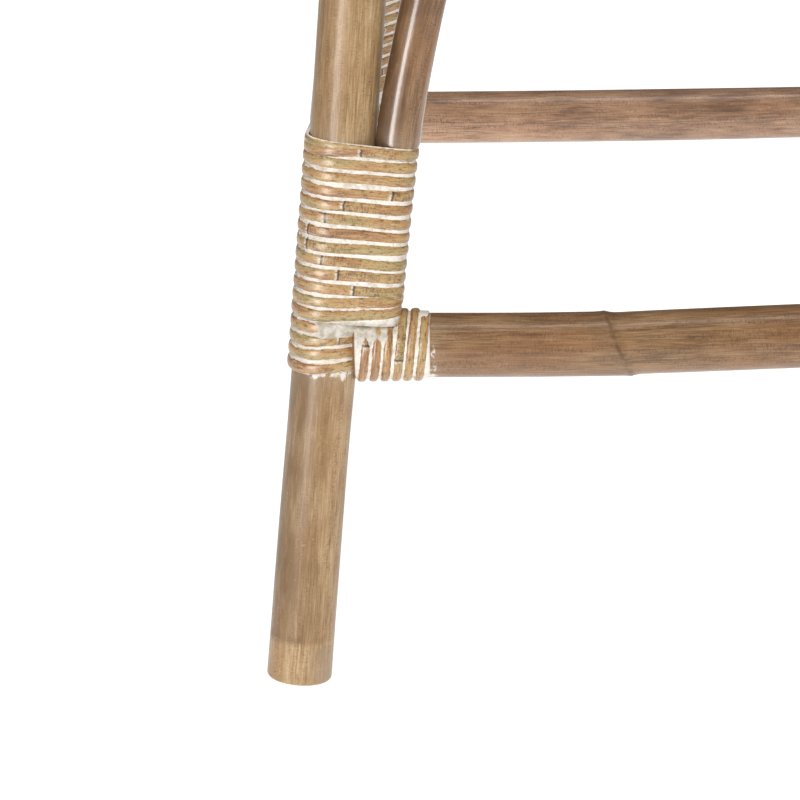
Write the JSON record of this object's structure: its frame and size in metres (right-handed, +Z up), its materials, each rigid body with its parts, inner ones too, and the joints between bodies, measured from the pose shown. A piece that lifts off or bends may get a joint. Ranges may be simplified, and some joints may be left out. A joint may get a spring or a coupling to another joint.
{
  "type": "bar stool with footrest",
  "caption": "Backless rattan bar stool: inward-leaning poles, a footrest ring, bent arches lashed to the legs and rails, and a woven seat.",
  "frame": {"origin": "on the floor, under the middle of the seat", "axes": "+Z up, front toward -Y, +X to the right of a viewer in front"},
  "size_m": [0.4992, 0.4992, 0.7501],
  "materials": {
    "leg_pole": "satin lacquer over natural rattan pole",
    "footrest_pole": "satin lacquer, browner pole with dark grain lines",
    "arch_pole": "glossy lacquer over a thin bent pole",
    "seat_pole": "satin lacquer over natural rattan pole",
    "lashing": "satin rattan peel strip with pale wash in the seams",
    "woven_seat": "satin woven rattan peel",
    "screw_steel": "zinc plated, hidden under the lashings"
  },
  "bodies": {
    "root": {"leg_front_left": "leg_pole", "leg_front_right": "leg_pole", "leg_back_right": "leg_pole", "leg_back_left": "leg_pole", "footrest_front": "footrest_pole", "footrest_right": "footrest_pole", "footrest_back": "footrest_pole", "footrest_left": "footrest_pole", "arch_front": "arch_pole", "arch_right": "arch_pole", "arch_back": "arch_pole", "arch_left": "arch_pole", "rail_front": "seat_pole", "rail_right": "seat_pole", "rail_back": "seat_pole", "rail_left": "seat_pole", "seat_hoop": "seat_pole", "cross_pole_left": "seat_pole", "cross_pole_right": "seat_pole", "seat_weave": "woven_seat", "knot_front_left": "lashing", "knot_front_right": "lashing", "knot_back_right": "lashing", "knot_back_left": "lashing", "collar_front_start": "lashing", "collar_front_end": "lashing", "collar_right_start": "lashing", "collar_right_end": "lashing", "collar_back_start": "lashing", "collar_back_end": "lashing", "collar_left_start": "lashing", "collar_left_end": "lashing", "top_knot_front_left": "lashing", "top_knot_front_right": "lashing", "top_knot_back_right": "lashing", "top_knot_back_left": "lashing", "apex_knot_front": "lashing", "apex_knot_right": "lashing", "apex_knot_back": "lashing", "apex_knot_left": "lashing", "screw_footrest_front_left_x": "screw_steel", "screw_footrest_front_left_y": "screw_steel", "screw_footrest_front_right_x": "screw_steel", "screw_footrest_front_right_y": "screw_steel", "screw_footrest_back_right_x": "screw_steel", "screw_footrest_back_right_y": "screw_steel", "screw_footrest_back_left_x": "screw_steel", "screw_footrest_back_left_y": "screw_steel", "screw_rail_front_left_x": "screw_steel", "screw_rail_front_left_y": "screw_steel", "screw_rail_front_right_x": "screw_steel", "screw_rail_front_right_y": "screw_steel", "screw_rail_back_right_x": "screw_steel", "screw_rail_back_right_y": "screw_steel", "screw_rail_back_left_x": "screw_steel", "screw_rail_back_left_y": "screw_steel", "screw_hoop_front_left": "screw_steel", "screw_hoop_front_right": "screw_steel", "screw_hoop_back_right": "screw_steel", "screw_hoop_back_left": "screw_steel"}
  },
  "joints": []
}
